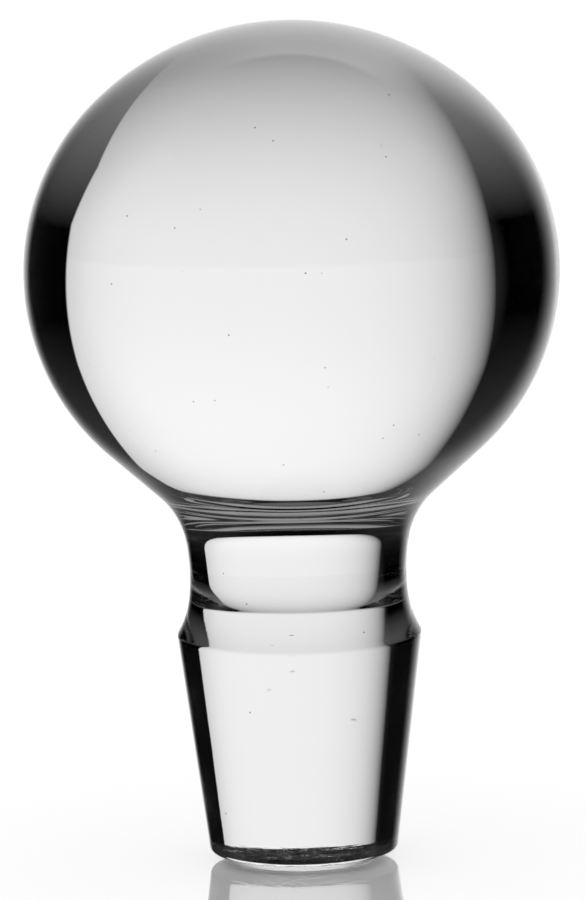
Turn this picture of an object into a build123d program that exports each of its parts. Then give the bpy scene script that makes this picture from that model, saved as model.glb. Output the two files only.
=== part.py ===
"""Solid glass stopper: a pressed ball handle on a short neck, over a ground conical plug.

Millimetres, +Z up. The origin is the centre of the flat foot that the stopper stands on, and
the whole piece is one turn of a half outline about the Z axis.
"""

import os
from math import cos, radians, sin, tan

from build123d import *

# Plug: the cone that fits the bottle's neck.
PLUG_WIDE_RADIUS = 12.13      # where the cone meets the ridge
PLUG_LENGTH = 22.5            # foot plane to the top of the cone
PLUG_LEAN = 7.25              # degrees between the cone's side and the axis
BEVEL_WIDTH = 2.3             # from the lower corner of the cone in to the flat foot
BEVEL_ANGLE = 25.0            # degrees, from the foot plane up to that corner
CORNER_ROUND = 0.5            # radius at the lower corner of the cone
FOOT_ROUND = 2.5              # radius where the bevel runs into the foot

# Ridge: the rounded edge that overhangs the cone.
RIDGE_ROUND = 1.55
SHOULDER_LEAN = 28.2          # degrees that the outline leans inwards above the ridge

# Neck: a waist made of two slow curves, with a tighter one at either end.
SHOULDER_RADIUS = 9.1
WAIST_LOWER_RADIUS = 16.2
WAIST_LOWER_TURN = 8.5        # degrees of the lean that are left for the lower waist curve
WAIST_UPPER_RADIUS = 22.2
WAIST_UPPER_TURN = 9.1        # degrees that the upper waist curve opens out by
NECK_FILLET_RADIUS = 8.7      # from the neck into the flank
FLANK_LEAN = 47.9             # degrees between the straight flank under the ball and the axis

# Ball: a little flatter than a sphere, so its side and its crown have radii of their own.
BALL_RADIUS = 26.6
BALL_HALF_HEIGHT = 24.89
CROWN_START = 45.0            # degrees above the ball's equator where the crown takes over

# Lower corner of the cone, and the flat foot inside its bevel.
corner_height = BEVEL_WIDTH * tan(radians(BEVEL_ANGLE))
corner_radius = PLUG_WIDE_RADIUS - (PLUG_LENGTH - corner_height) * tan(radians(PLUG_LEAN))
foot_radius = corner_radius - BEVEL_WIDTH

# The two radii with which side and crown meet in one tangent at CROWN_START.
crown_cos = cos(radians(CROWN_START))
crown_sin = sin(radians(CROWN_START))
side_radius = (BALL_RADIUS * (1 - crown_sin) - BALL_HALF_HEIGHT * crown_cos) / (1 - crown_cos - crown_sin)
crown_radius = (BALL_HALF_HEIGHT - side_radius * crown_sin) / (1 - crown_sin)
side_centre_radius = BALL_RADIUS - side_radius

with BuildPart() as stopper:
    with BuildSketch(Plane.XZ) as half_section:
        with BuildLine() as outline:
            foot = Line((0, 0), (foot_radius, 0))
            bevel = Line(foot @ 1, (corner_radius, corner_height))
            cone = Line(bevel @ 1, (PLUG_WIDE_RADIUS, PLUG_LENGTH))
            ridge = JernArc(cone @ 1, cone % 1, RIDGE_ROUND, PLUG_LEAN + SHOULDER_LEAN)
            shoulder = JernArc(ridge @ 1, ridge % 1, SHOULDER_RADIUS, WAIST_LOWER_TURN - SHOULDER_LEAN)
            waist_lower = JernArc(shoulder @ 1, shoulder % 1, WAIST_LOWER_RADIUS, -WAIST_LOWER_TURN)
            waist_upper = JernArc(waist_lower @ 1, waist_lower % 1, WAIST_UPPER_RADIUS, -WAIST_UPPER_TURN)
            neck_fillet = JernArc(
                waist_upper @ 1, waist_upper % 1, NECK_FILLET_RADIUS, WAIST_UPPER_TURN - FLANK_LEAN
            )
            # The flank runs on until it touches the ball's side, and so sets the ball's height.
            flank_foot = neck_fillet @ 1
            touch_radius = side_centre_radius + side_radius * cos(radians(FLANK_LEAN))
            touch_height = flank_foot.Y + (touch_radius - flank_foot.X) / tan(radians(FLANK_LEAN))
            ball_height = touch_height + side_radius * sin(radians(FLANK_LEAN))
            flank = Line(flank_foot, (touch_radius, touch_height))
            side = CenterArc(
                (side_centre_radius, ball_height), side_radius, -FLANK_LEAN, FLANK_LEAN + CROWN_START
            )
            crown_centre = (0, ball_height + BALL_HALF_HEIGHT - crown_radius)
            crown = CenterArc(crown_centre, crown_radius, CROWN_START, 90 - CROWN_START)
            Line(crown @ 1, foot @ 0)
        make_face()
        fillet(half_section.vertices().sort_by_distance(bevel @ 1)[0], CORNER_ROUND)
        fillet(half_section.vertices().sort_by_distance(foot @ 1)[0], FOOT_ROUND)
    revolve(axis=Axis.Z)

stopper.part.label = "stopper"

print("height", round(ball_height + BALL_HALF_HEIGHT, 2), "ball centre at", round(ball_height, 2))
print("ball side radius", round(side_radius, 2), "crown radius", round(crown_radius, 2))
print("corner of the cone: radius", round(corner_radius, 2), "height", round(corner_height, 2))
print("foot radius before its edge is rounded", round(foot_radius, 2))
print("waist: radius", round((waist_lower @ 1).X, 2), "height", round((waist_lower @ 1).Y, 2))
print("flank: from radius", round(flank_foot.X, 2), "to", round(touch_radius, 2))

os.makedirs("parts", exist_ok=True)
export_step(stopper.part, "parts/stopper.step")
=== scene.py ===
# %% [markdown]
# # A clear glass stopper
#
# The object is one solid piece of glass: a ball to hold, a short waisted neck, a rounded ridge
# and a ground cone that closes a bottle. The CAD model fixes its size and place. This lesson
# gives it its looks: the turned glass itself, the table it stands on, the light and the camera.

# %% Load the frame
from math import cos, pi, radians, sin, tan

import bpy
import numpy as np
from mathutils import Matrix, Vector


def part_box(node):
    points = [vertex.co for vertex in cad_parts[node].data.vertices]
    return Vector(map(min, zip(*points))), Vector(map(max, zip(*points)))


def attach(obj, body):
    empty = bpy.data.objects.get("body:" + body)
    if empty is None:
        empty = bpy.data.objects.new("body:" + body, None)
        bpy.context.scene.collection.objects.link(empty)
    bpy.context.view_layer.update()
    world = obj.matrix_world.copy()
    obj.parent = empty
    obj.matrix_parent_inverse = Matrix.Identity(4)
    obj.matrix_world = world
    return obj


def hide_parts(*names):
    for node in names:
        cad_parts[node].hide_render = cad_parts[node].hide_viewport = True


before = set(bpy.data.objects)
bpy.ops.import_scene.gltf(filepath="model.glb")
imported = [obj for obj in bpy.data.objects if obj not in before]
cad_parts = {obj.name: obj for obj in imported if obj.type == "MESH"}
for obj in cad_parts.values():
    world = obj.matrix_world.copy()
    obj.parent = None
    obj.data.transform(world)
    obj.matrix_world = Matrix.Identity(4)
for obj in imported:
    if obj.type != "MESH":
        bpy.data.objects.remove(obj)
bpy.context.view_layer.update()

foot_corner, top_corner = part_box("stopper")
print("stopper, in mm:", [round(1000 * side, 2) for side in top_corner - foot_corner])

# %% [markdown]
# ## The outline
#
# A turned shape is a half outline carried round the axis. Here the outline is a chain: each arc
# or straight run starts where the last one ended and in the direction in which it ended, so the
# glass has no crease that the real one lacks. Typing in a list of points would lose that.
# The sizes are the CAD model's, in metres, from the foot up.

# %% The outline as one chain of arcs
MM = 0.001
PLUG_WIDE_RADIUS = 12.13 * MM
PLUG_LENGTH = 22.5 * MM
PLUG_LEAN = radians(7.25)
BEVEL_WIDTH = 2.3 * MM
BEVEL_ANGLE = radians(25)
CORNER_ROUND = 0.5 * MM
FOOT_ROUND = 2.5 * MM
RIDGE_ROUND = 1.55 * MM
RIDGE_CUT = 0.7 * MM
SHOULDER_LEAN = radians(28.2)
SHOULDER_RADIUS = 9.1 * MM
WAIST_LOWER_RADIUS = 16.2 * MM
WAIST_LOWER_TURN = radians(8.5)
WAIST_UPPER_RADIUS = 22.2 * MM
WAIST_UPPER_TURN = radians(9.1)
NECK_FILLET_RADIUS = 8.7 * MM
FLANK_LEAN = radians(47.9)
BALL_RADIUS = 26.6 * MM
BALL_HALF_HEIGHT = 24.89 * MM
CROWN_START = radians(45)
print("ball, in mm:", round(2 * BALL_RADIUS / MM, 2), "wide; plug:", round(PLUG_LENGTH / MM, 2), "long")

# %% [markdown]
# ### Drawing with headings
#
# A pen that only knows two moves, straight on and round an arc, can draw the whole outline. It
# remembers its heading, so every arc touches the one before it without a crease. A spline
# through points would also be smooth, but its radii could not be read off or changed.

# %% The pen


class Outline:
    """Half outline drawn from the foot up. heading is the direction of travel: 0 is straight
    out from the axis, a quarter turn is straight up, and a left turn adds to it."""

    def __init__(self, radius, height, heading):
        self.radius, self.height, self.heading = [radius], [height], heading

    def run(self, length, steps):
        """Straight on: the last point plus length times the heading, in equal steps."""
        part = np.arange(1, steps + 1) / steps * length
        self.radius.extend(self.radius[-1] + part * cos(self.heading))
        self.height.extend(self.height[-1] + part * sin(self.heading))

    def bend(self, radius, turn, steps):
        """Arc: the centre lies one radius to the side of the turn, and the points are the
        centre minus radius times the side vector, turned in equal steps."""
        side = np.sign(turn)
        angles = self.heading + turn * np.arange(1, steps + 1) / steps
        centre_radius = self.radius[-1] - side * radius * sin(self.heading)
        centre_height = self.height[-1] + side * radius * cos(self.heading)
        self.radius.extend(centre_radius + side * radius * np.sin(angles))
        self.height.extend(centre_height - side * radius * np.cos(angles))
        self.heading += turn


print("pen moves: run, bend")

# %% [markdown]
# ### From the foot to the crown
#
# The foot is a flat of ground glass with a bevel. Above it the cone widens to the ridge, where
# the melted shoulder begins. The real ridge is cut crisply by the grinding wheel, so its arc is
# smaller than the CAD fillet and the two straight sides run a little further to meet it. The
# waist is three arcs, and the ball is a side arc and a flatter crown arc that touch.

# %% Draw the half outline
def stopper_outline():
    """The stopper's half outline, from the centre of the foot to the top of the ball."""
    corner_height = BEVEL_WIDTH * tan(BEVEL_ANGLE)
    corner_radius = PLUG_WIDE_RADIUS - (PLUG_LENGTH - corner_height) * tan(PLUG_LEAN)
    foot_radius = corner_radius - BEVEL_WIDTH
    cone_turn = pi / 2 - PLUG_LEAN - BEVEL_ANGLE
    foot_trim = FOOT_ROUND * tan(BEVEL_ANGLE / 2)
    corner_trim = CORNER_ROUND * tan(cone_turn / 2)
    crown_cos, crown_sin = cos(CROWN_START), sin(CROWN_START)
    side_radius = BALL_RADIUS * (1 - crown_sin) - BALL_HALF_HEIGHT * crown_cos
    side_radius /= 1 - crown_cos - crown_sin
    crown_radius = (BALL_HALF_HEIGHT - side_radius * crown_sin) / (1 - crown_sin)
    touch_radius = BALL_RADIUS - side_radius + side_radius * cos(FLANK_LEAN)

    line = Outline(0.0, 0.0, 0.0)
    line.run(foot_radius - foot_trim, 16)
    line.bend(FOOT_ROUND, BEVEL_ANGLE, 8)
    line.run(BEVEL_WIDTH / cos(BEVEL_ANGLE) - foot_trim - corner_trim, 6)
    line.bend(CORNER_ROUND, cone_turn, 10)
    ridge_trim = (RIDGE_ROUND - RIDGE_CUT) * tan((PLUG_LEAN + SHOULDER_LEAN) / 2)
    line.run((PLUG_LENGTH - corner_height) / cos(PLUG_LEAN) - corner_trim + ridge_trim, 44)
    line.bend(RIDGE_CUT, PLUG_LEAN + SHOULDER_LEAN, 9)
    line.run(ridge_trim, 1)
    line.bend(SHOULDER_RADIUS, WAIST_LOWER_TURN - SHOULDER_LEAN, 12)
    line.bend(WAIST_LOWER_RADIUS, -WAIST_LOWER_TURN, 9)
    line.bend(WAIST_UPPER_RADIUS, -WAIST_UPPER_TURN, 12)
    line.bend(NECK_FILLET_RADIUS, WAIST_UPPER_TURN - FLANK_LEAN, 20)
    line.run((touch_radius - line.radius[-1]) / sin(FLANK_LEAN), 14)
    line.bend(side_radius, FLANK_LEAN + CROWN_START, 62)
    line.bend(crown_radius, pi / 2 - CROWN_START, 36)
    return np.array(line.radius), np.array(line.height)


outline_radius, outline_height = stopper_outline()
print("outline points:", len(outline_radius), " height in mm:", round(outline_height[-1] / MM, 2))

# %% [markdown]
# ## The glass as one turned surface
#
# The real stopper was pressed and turned while hot, so every cross-section is a circle. A Screw
# modifier could sweep the outline, but a grid of rings worked out at once has exact rings, needs
# nothing applied, and can be closed at both poles. Glass bends light by its surface direction,
# so the rings are close together and the shading is smooth.

# %% Turn the outline into a mesh
TURNS = 356


def turned_mesh(name, radius, height):
    """Surface of revolution: ring i at angle a is (radius i cos a, radius i sin a, height i).
    The first and last points lie on the axis and close the surface with a fan each."""
    angles = np.arange(TURNS) / TURNS * 2 * pi
    ring_radius, ring_height = radius[1:-1, None], height[1:-1, None]
    rings = np.stack(
        [
            ring_radius * np.cos(angles),
            ring_radius * np.sin(angles),
            ring_height + 0 * angles,
        ],
        axis=-1,
    ).reshape(-1, 3)
    poles = np.array([[0, 0, height[0]], [0, 0, height[-1]]])
    ring_count = len(radius) - 2
    first = np.arange(TURNS)
    after = (first + 1) % TURNS
    rows = TURNS * np.arange(ring_count - 1)[:, None]
    quads = np.stack([rows + first, rows + after, rows + TURNS + after, rows + TURNS + first], axis=-1)
    last_row = TURNS * (ring_count - 1)
    foot_pole = TURNS * ring_count
    foot_fan = np.stack([np.full(TURNS, foot_pole), after, first], axis=-1)
    top_fan = np.stack([np.full(TURNS, foot_pole + 1), last_row + first, last_row + after], axis=-1)
    mesh = bpy.data.meshes.new(name)
    faces = quads.reshape(-1, 4).tolist() + foot_fan.tolist() + top_fan.tolist()
    mesh.from_pydata(np.vstack([rings, poles]).tolist(), [], faces)
    mesh.shade_smooth()
    mesh.validate()
    return mesh


print("points round each ring:", TURNS)

# %% [markdown]
# ### Into the scene
#
# The turned glass takes the place of the CAD node and rides on the same body.

# %% Place the glass
stopper_mesh = turned_mesh("stopper_glass", outline_radius, outline_height)
glass = bpy.data.objects.new("stopper_glass", stopper_mesh)
bpy.context.scene.collection.objects.link(glass)
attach(glass, "root")
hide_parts("stopper")
triangles = sum(len(face.vertices) - 2 for face in stopper_mesh.polygons)
print("triangles:", triangles, " tallest point in mm:", round(outline_height.max() / MM, 2))

# %% [markdown]
# ## Short words for shader trees
#
# A material or a world is a tree of nodes. Adding a node, setting it up and linking it takes
# many lines by hand, so these helpers say it in one. Mouse work in the node editor would give
# the same tree, but nobody could read it here.

# %% A helper for shader trees
def linked(tree, kind, settings=None, **inputs):
    """Adds a node of that kind. Each input is a number, a colour or another node's output, under
    its socket's name with spaces as underscores, or in_0, in_1 for sockets without a useful name."""
    node = tree.nodes.new(kind)
    for key, value in (settings or {}).items():
        setattr(node, key, value)
    for key, value in inputs.items():
        socket = node.inputs[int(key[3:])] if key.startswith("in_") else node.inputs[key.replace("_", " ")]
        if isinstance(value, bpy.types.NodeSocket):
            tree.links.new(value, socket)
        else:
            socket.default_value = value
    return node


def worked(tree, operation, *values):
    """Output of a Math node: the operation on one, two or three values."""
    inputs = {f"in_{i}": value for i, value in enumerate(values)}
    return linked(tree, "ShaderNodeMath", {"operation": operation}, **inputs).outputs[0]


def blend(tree, factor, first, second):
    """First value where the factor is 0, second where it is 1, straight between."""
    return linked(tree, "ShaderNodeMix", {"data_type": "FLOAT"}, Factor=factor, A=first, B=second).outputs[0]


def fade(tree, value, start, end):
    """0 at the start, 1 at the end, and an S between them: 3 t t - 2 t t t, t the share of the way."""
    settings = {"interpolation_type": "SMOOTHSTEP"}
    return linked(tree, "ShaderNodeMapRange", settings, Value=value, From_Min=start, From_Max=end).outputs[0]


def clamped(tree, value):
    """The value, but never under 0 or over 1."""
    return worked(tree, "MINIMUM", worked(tree, "MAXIMUM", value, 0.0), 1.0)


print("helpers: linked, worked, blend, fade, clamped")

# %% [markdown]
# ## Glass finish
#
# The ball and neck are fire-polished: smooth, with a faint swell left by the mould. The cone was
# ground with wet grit, then polished, which leaves fine rings round it. The bevel at the foot
# was only ground, so it is frosted and a little chipped. A few specks of dust and seed sit on
# the surface and darken the glass there. The rest is height and roughness on a plain clear glass,
# because glass shows its shape only through what it bends. Numbers here are metres on the piece itself.

# %% Heights and sizes of the finish
SWELL_HEIGHT = 0.03 * MM
RING_HEIGHT = 0.008 * MM
PIT_HEIGHT = 0.3 * MM
GRINDING_TOP = PLUG_LENGTH - 0.3 * MM
FROST_TOP = 1.0 * MM
FROST_INNER_RADIUS = 6.9 * MM
FROST_ROUGHNESS = 0.3
SPECK_SCALE = 450
SWELL_WAVES, SWELL_STRETCH = 110, (1, 1, 1.6)
RING_WAVES, RING_STRETCH = 250, (1, 1, 16)
PIT_WAVES, PIT_STRETCH = 2600, (0.6, 0.6, 1)
FROST_EDGE_WAVES, FROST_EDGE_STRETCH = 900, (1, 1, 0.5)
FROST_EDGE_SPREAD = 0.6 * MM
SPECK_RADIUS = 0.12 * MM

glass_material = bpy.data.materials.new("clear_glass")
glass_material.use_nodes = True
glass_tree = glass_material.node_tree
shader = glass_tree.nodes["Principled BSDF"]
place = linked(glass_tree, "ShaderNodeTexCoord").outputs["Object"]
axes = linked(glass_tree, "ShaderNodeSeparateXYZ", Vector=place).outputs
flat = linked(glass_tree, "ShaderNodeVectorMath", {"operation": "MULTIPLY"}, in_0=place, in_1=(1, 1, 0))
off_axis = linked(glass_tree, "ShaderNodeVectorMath", {"operation": "LENGTH"}, in_0=flat.outputs[0]).outputs["Value"]


def noise(scale, stretch=(1, 1, 1), detail=2.0):
    """Noise on the piece's own metres: scale is waves per metre, stretch multiplies each axis."""
    stretched = linked(glass_tree, "ShaderNodeVectorMath", {"operation": "MULTIPLY"}, in_0=place, in_1=stretch)
    texture = linked(glass_tree, "ShaderNodeTexNoise", Vector=stretched.outputs[0], Scale=scale, Detail=detail)
    return texture.outputs["Fac"]


def past(value, level, softness):
    """0 below the level, 1 past it, straight over the softness: (value - level) / softness, clamped."""
    return clamped(glass_tree, worked(glass_tree, "DIVIDE", worked(glass_tree, "SUBTRACT", value, level), softness))


print("finish heights in mm:", SWELL_HEIGHT / MM, RING_HEIGHT / MM, PIT_HEIGHT / MM)

# %% [markdown]
# ### Where the frost and the rings lie
#
# The frost ends in a ragged line just above the foot, because a hand-held bevel never ends
# straight. Noise moves that line up and down. The rings stop at the ridge.

# %% Masks on the cone and the foot
edge_noise = noise(FROST_EDGE_WAVES, FROST_EDGE_STRETCH, 4.0)
ragged = worked(glass_tree, "MULTIPLY_ADD", edge_noise, FROST_EDGE_SPREAD, FROST_TOP - FROST_EDGE_SPREAD / 2)
below_frost = worked(glass_tree, "SUBTRACT", 1.0, past(axes["Z"], ragged, 0.05 * MM))
frost = worked(glass_tree, "MULTIPLY", below_frost, past(off_axis, FROST_INNER_RADIUS, 0.3 * MM))
cone = worked(glass_tree, "SUBTRACT", 1.0, past(axes["Z"], GRINDING_TOP, 0.2 * MM))
swell = worked(glass_tree, "MULTIPLY", noise(SWELL_WAVES, SWELL_STRETCH, 1.0), SWELL_HEIGHT)
ring_height = worked(glass_tree, "MULTIPLY", noise(RING_WAVES, RING_STRETCH, 3.0), RING_HEIGHT)
rings = worked(glass_tree, "MULTIPLY", ring_height, cone)
pit_height = worked(glass_tree, "MULTIPLY", noise(PIT_WAVES, PIT_STRETCH, 4.0), PIT_HEIGHT)
pits = worked(glass_tree, "MULTIPLY", pit_height, frost)
relief = worked(glass_tree, "ADD", worked(glass_tree, "ADD", swell, rings), pits)
bump = linked(glass_tree, "ShaderNodeBump", Strength=1.0, Distance=1.0, Height=relief)
print("frost below, in mm:", FROST_TOP / MM, " rings below:", GRINDING_TOP / MM)

# %% [markdown]
# ### Specks
#
# Scattered dots could be tiny spheres, but a few dozen of them inside clear glass would slow the
# light down for nothing. Cells of a Voronoi texture each have one centre, and only where the
# surface passes close to a centre does the glass turn dark.

# %% Specks and the glass itself
to_centre = linked(glass_tree, "ShaderNodeTexVoronoi", Vector=place, Scale=SPECK_SCALE).outputs["Distance"]
clean = past(to_centre, SPECK_RADIUS * SPECK_SCALE * 0.5, SPECK_RADIUS * SPECK_SCALE * 0.5)
clear = worked(glass_tree, "MULTIPLY_ADD", clean, 0.9, 0.1)
tint = linked(glass_tree, "ShaderNodeCombineColor", Red=clear, Green=clear, Blue=clear)
glass_tree.links.new(tint.outputs[0], shader.inputs["Base Color"])
glass_tree.links.new(worked(glass_tree, "MULTIPLY", frost, FROST_ROUGHNESS), shader.inputs["Roughness"])
glass_tree.links.new(bump.outputs[0], shader.inputs["Normal"])
shader.inputs["IOR"].default_value = 1.5
shader.inputs["Transmission Weight"].default_value = 1.0
stopper_mesh.materials.append(glass_material)
print("glass nodes:", len(glass_tree.nodes))

# %% [markdown]
# ## The studio
#
# Clear glass is drawn by the dark and bright things round it. A product studio sets a bright
# panel behind the glass and leaves the sides dark, so the panel fills the middle and the dark
# draws the edges. Real lamps and card could stand here, but a world that answers by direction
# gives the same picture without noise. The panel has a soft left edge, a cut right edge and a
# top edge, and it dims below the table's level. The same panel stands in front too, mirrored,
# and soft ones at the sides, so that the glass is lit from every side one looks from.

# %% Sizes and levels of the panel, in degrees from behind the glass
PANEL_LEFT = -37.0
LEFT_SOFTNESS = 9.0
PANEL_RIGHT = 45.0
RIGHT_SAG_START = 20.0
RIGHT_SAG_LENGTH = 52.0
GLANCE_LEFT = (-30.0, 0.0)
GLANCE_RIGHT = (46.0, 18.0)
SIDE_PANEL = (72.0, 88.0)
PANEL_TOP = (53.0, 49.0)
PANEL_LEVEL = 0.94
MIDDLE_GAIN = 0.08
MIDDLE_RISE = (-8.0, 20.0)
MIDDLE_FALL = (26.0, 42.0)
BELOW_LEVEL = 0.33
BELOW_FADE = (-62.0, -8.0)
TABLE_EDGE = (-9.0, -8.0)
TABLE_EDGE_STEP = 0.04
TABLE_GLOW = 0.34
TABLE_GLOW_START = -14.0
TABLE_GLOW_LENGTH = 45.0
TAPER_ABOVE = 12.0
TAPER_BELOW = -15.0
LEFT_TAPER, RIGHT_TAPER = 0.0045, 0.002
RIGHT_DIP_TAPER, MOST_DIP = 0.009, 0.1
AHEAD_SLOPE = 1.6
INSIDE_REFLECTION = 0.32
ROOM_REFLECTION = 0.1
TABLE_LIGHT = 1.15
TABLE_UNDER_GLASS = 0.75
MIRRORED_IN_TABLE = 0.6
print("panel, in degrees:", PANEL_RIGHT - PANEL_LEFT, "across, top at", PANEL_TOP[1])

# %% [markdown]
# ### Angles of the studio
#
# The world is asked for light in a direction. Its two angles are found from that direction:
# across is the turn away from straight behind the glass, above is the height over the table.
# The panel narrows a little towards its top and, on one side, its bottom, as a hung cloth does.

# %% Angles
world = bpy.data.worlds.new("studio")
bpy.context.scene.world = world
world.use_nodes = True
studio = world.node_tree
studio.nodes.clear()
direction = linked(studio, "ShaderNodeSeparateXYZ", Vector=linked(studio, "ShaderNodeTexCoord").outputs["Generated"])
mirrored = worked(studio, "ABSOLUTE", direction.outputs["Y"])
across = worked(studio, "DEGREES", worked(studio, "ARCTAN2", direction.outputs["X"], mirrored))
above = worked(studio, "DEGREES", worked(studio, "ARCSINE", direction.outputs["Z"]))
rise = worked(studio, "MAXIMUM", worked(studio, "SUBTRACT", above, TAPER_ABOVE), 0.0)
dip = worked(studio, "MAXIMUM", worked(studio, "SUBTRACT", TAPER_BELOW, above), 0.0)
on_right = worked(studio, "GREATER_THAN", across, 0.0)
right_dip = worked(studio, "MULTIPLY", dip, on_right)
narrow_below = worked(studio, "MINIMUM", worked(studio, "MULTIPLY", right_dip, RIGHT_DIP_TAPER), MOST_DIP)
narrow_above = worked(studio, "MULTIPLY", rise, blend(studio, on_right, LEFT_TAPER, RIGHT_TAPER))
taper = worked(studio, "ADD", worked(studio, "ADD", narrow_above, 1.0), narrow_below)
tapered = worked(studio, "MULTIPLY", across, taper)
print("studio nodes so far:", len(studio.nodes))

# %% [markdown]
# ### How bright the panel is
#
# Across, the left edge rises as 1 minus a power of e, like light spilling past a card, and the
# right part sags with the square of the angle until it is cut. Up, the level is a sum of
# S-shaped steps, with one sharp small one where the table's far edge meets the panel: it is the
# faint curved line across the ball. The low table glows evenly all round, more the steeper one looks down.

# %% The panel and the glow of the table
past_left = worked(studio, "MAXIMUM", worked(studio, "SUBTRACT", tapered, PANEL_LEFT), 0.0)
spill = worked(studio, "EXPONENT", worked(studio, "DIVIDE", past_left, -LEFT_SOFTNESS))
past_middle = worked(studio, "MAXIMUM", worked(studio, "SUBTRACT", tapered, RIGHT_SAG_START), 0.0)
sag = worked(studio, "POWER", worked(studio, "DIVIDE", past_middle, RIGHT_SAG_LENGTH), 2.0)
cut = fade(studio, tapered, PANEL_RIGHT + 0.5, PANEL_RIGHT - 0.5)
main_share = worked(studio, "MULTIPLY", worked(studio, "SUBTRACT", worked(studio, "SUBTRACT", 1.0, spill), sag), cut)
side_share = fade(studio, worked(studio, "ABSOLUTE", across), *SIDE_PANEL)
panel_share = worked(studio, "MAXIMUM", main_share, side_share)
glance = worked(studio, "MULTIPLY", fade(studio, across, *GLANCE_LEFT), fade(studio, across, *GLANCE_RIGHT))
gloss_share = worked(studio, "MAXIMUM", glance, worked(studio, "MULTIPLY", side_share, 0.5))
steps = worked(studio, "MULTIPLY_ADD", fade(studio, above, *BELOW_FADE), PANEL_LEVEL - BELOW_LEVEL, BELOW_LEVEL)
steps = worked(studio, "MULTIPLY_ADD", fade(studio, above, *MIDDLE_RISE), MIDDLE_GAIN, steps)
steps = worked(studio, "MULTIPLY_ADD", fade(studio, above, *MIDDLE_FALL), -MIDDLE_GAIN, steps)
over_edge = worked(studio, "MULTIPLY_ADD", fade(studio, above, *TABLE_EDGE), TABLE_EDGE_STEP, 1 - TABLE_EDGE_STEP)
panel = worked(studio, "MULTIPLY", worked(studio, "MULTIPLY", steps, over_edge), fade(studio, above, *PANEL_TOP))
down = worked(studio, "DIVIDE", worked(studio, "SUBTRACT", TABLE_GLOW_START, above), TABLE_GLOW_LENGTH)
low_table = worked(studio, "MULTIPLY", clamped(studio, down), TABLE_GLOW)
print("studio nodes so far:", len(studio.nodes))

# %% [markdown]
# ### One light for each kind of ray
#
# Light that went straight through the glass sees the studio as it is. Light thrown back inside
# it is dimmer, because it also crossed the dark of the room. Light that glances off the outside
# sees a softer panel, and glass mirrored in the table is dimmer. The camera sees white, and so
# does the table, which makes the plain white background. The table under the glass gets a
# little less, and that is its shadow.

# %% Light by kind of ray
path = linked(studio, "ShaderNodeLightPath").outputs
crossed_glass = worked(studio, "GREATER_THAN", path["Transmission Depth"], 0.5)
off_table = worked(studio, "GREATER_THAN", path["Diffuse Depth"], 0.5)
by_mirror = worked(studio, "GREATER_THAN", path["Transparent Depth"], 0.5)
was_reflected = worked(studio, "GREATER_THAN", worked(studio, "SUBTRACT", path["Glossy Depth"], by_mirror), 0.5)
ahead = clamped(studio, worked(studio, "MULTIPLY_ADD", direction.outputs["Y"], AHEAD_SLOPE, 0.5))


def lit_by(share):
    """The low table's light, blended to the panel's by the panel's share across."""
    return blend(studio, share, low_table, panel)


inner_share = blend(studio, was_reflected, 1.0, worked(studio, "MULTIPLY", ahead, INSIDE_REFLECTION))
through_glass = worked(studio, "MULTIPLY", lit_by(panel_share), inner_share)
through_glass = worked(studio, "MULTIPLY", through_glass, blend(studio, by_mirror, 1.0, MIRRORED_IN_TABLE))
off_glass = worked(studio, "MULTIPLY", lit_by(gloss_share), blend(studio, ahead, ROOM_REFLECTION, 1.0))
outside = blend(studio, was_reflected, 1.0, off_glass)
seen = blend(studio, crossed_glass, outside, through_glass)
table_light = blend(studio, crossed_glass, TABLE_LIGHT, TABLE_UNDER_GLASS)
light = blend(studio, off_table, seen, table_light)
background = linked(studio, "ShaderNodeBackground", Color=worked(studio, "MAXIMUM", light, path["Is Camera Ray"]))
linked(studio, "ShaderNodeOutputWorld", Surface=background.outputs[0])
print("studio nodes:", len(studio.nodes))

# %% [markdown]
# ## The table
#
# The stopper stands on a sheet of white acrylic: a clear polished face over white. It could be
# one glossy floor, but then light that was mirrored in it could not be told from light that was
# thrown back inside the glass. So a clear film lies over the white face, and a ray that has
# crossed the film is known to come from the table. The gap is a fiftieth of a millimetre.

# %% The film and the white face
TABLE_HALF = 3.0
FILM_GAP = 0.02 * MM
MIRROR_SHARE = 0.6


def flat_square(name, height, material):
    """A square of TABLE_HALF to each side of the axis at that height, seen by the camera alone."""
    corners = [(x * TABLE_HALF, y * TABLE_HALF, height) for x, y in ((-1, -1), (1, -1), (1, 1), (-1, 1))]
    mesh = bpy.data.meshes.new(name)
    mesh.from_pydata(corners, [], [(0, 1, 2, 3)])
    mesh.materials.append(material)
    square = bpy.data.objects.new(name, mesh)
    bpy.context.scene.collection.objects.link(square)
    square.visible_transmission = False
    square.visible_glossy = False
    square.visible_diffuse = False
    return square


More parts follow.
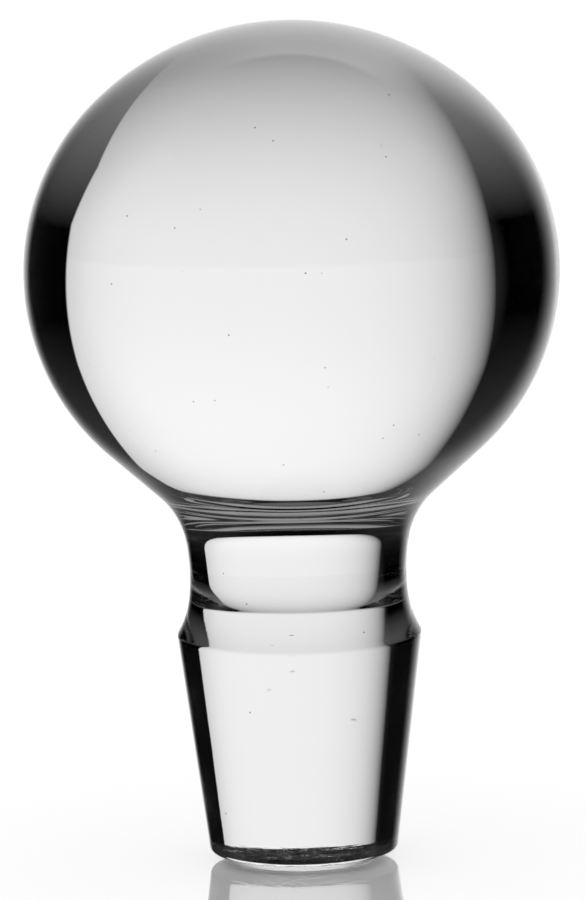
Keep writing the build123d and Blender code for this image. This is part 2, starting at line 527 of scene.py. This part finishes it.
def staged_material(name):
    """An empty node tree to build a finish of the studio in."""
    material = bpy.data.materials.new(name)
    material.use_nodes = True
    material.node_tree.nodes.clear()
    return material, material.node_tree


film_material, film_tree = staged_material("clear_film")
clear_film = linked(film_tree, "ShaderNodeBsdfTransparent")
linked(film_tree, "ShaderNodeOutputMaterial", Surface=clear_film.outputs[0])

acrylic_material, acrylic_tree = staged_material("white_acrylic")
white = linked(acrylic_tree, "ShaderNodeBsdfDiffuse", Color=(1, 1, 1, 1))
gloss = linked(acrylic_tree, "ShaderNodeBsdfGlossy", Color=(1, 1, 1, 1), Roughness=0.0)
both = linked(acrylic_tree, "ShaderNodeMixShader", in_0=MIRROR_SHARE, in_1=white.outputs[0], in_2=gloss.outputs[0])
linked(acrylic_tree, "ShaderNodeOutputMaterial", Surface=both.outputs[0])
flat_square("table_film", -FILM_GAP, film_material)
flat_square("table", -2 * FILM_GAP, acrylic_material)
print("table, in m:", 2 * TABLE_HALF, "square")

# %% [markdown]
# ## The camera
#
# A long lens from most of a metre away keeps the ball nearly as round as it is. It looks down
# by less than ten degrees, which shows the front of the ridge as a curve, and it is rolled by a
# little over one degree, so the stopper leans a little in the frame as it did on the day.
# Light may turn back many times in the neck before it leaves, so glass needs more bounces than
# an opaque thing. With too few, the band above the neck goes black.

# %% Camera and light bounces
camera_data = bpy.data.cameras.new("camera")
camera_data.lens = 320
camera_data.sensor_width = 36
camera_data.clip_end = 20
camera = bpy.data.objects.new("camera", camera_data)
scene = bpy.context.scene
scene.collection.objects.link(camera)
camera.matrix_world = (
    Matrix.Translation((-0.25 * MM, -785.4 * MM, 174.5 * MM))
    @ Matrix.Rotation(pi / 2 - radians(9.618), 4, "X")
    @ Matrix.Rotation(-radians(1.27), 4, "Z")
)
scene.camera = camera
scene.cycles.max_bounces = 20
scene.cycles.transmission_bounces = 16
scene.cycles.glossy_bounces = 8
scene.view_settings.view_transform = "Standard"
print("camera to axis, in mm:", round(-camera.matrix_world.translation.y / MM, 1))
